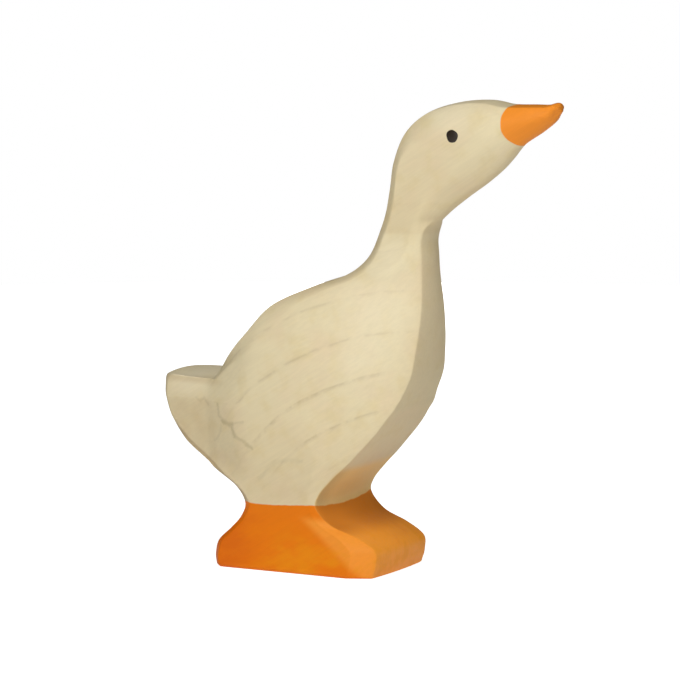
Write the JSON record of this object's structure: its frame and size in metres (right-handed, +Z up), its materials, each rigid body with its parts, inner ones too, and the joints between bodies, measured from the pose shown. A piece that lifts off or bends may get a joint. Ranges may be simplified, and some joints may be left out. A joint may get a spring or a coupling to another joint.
{
  "type": "goose figurine",
  "caption": "Free-standing goose carved from one maple board, cream washed, with an orange glazed beak and foot block and painted eyes.",
  "frame": {"origin": "centre of the flat underside of the base", "axes": "+X towards the beak, +Y to the figure's left side, +Z up through the figure"},
  "size_m": [0.0818, 0.0248, 0.09],
  "materials": {
    "cream_washed_maple": "thin cream colour wash over sanded maple, satin, grain showing through",
    "orange_glazed_maple": "streaky orange colour glaze over sanded maple, satin",
    "eye_paint": "dark brown-black paint dab, satin"
  },
  "bodies": {
    "root": {"goose": "cream_washed_maple"}
  },
  "joints": []
}
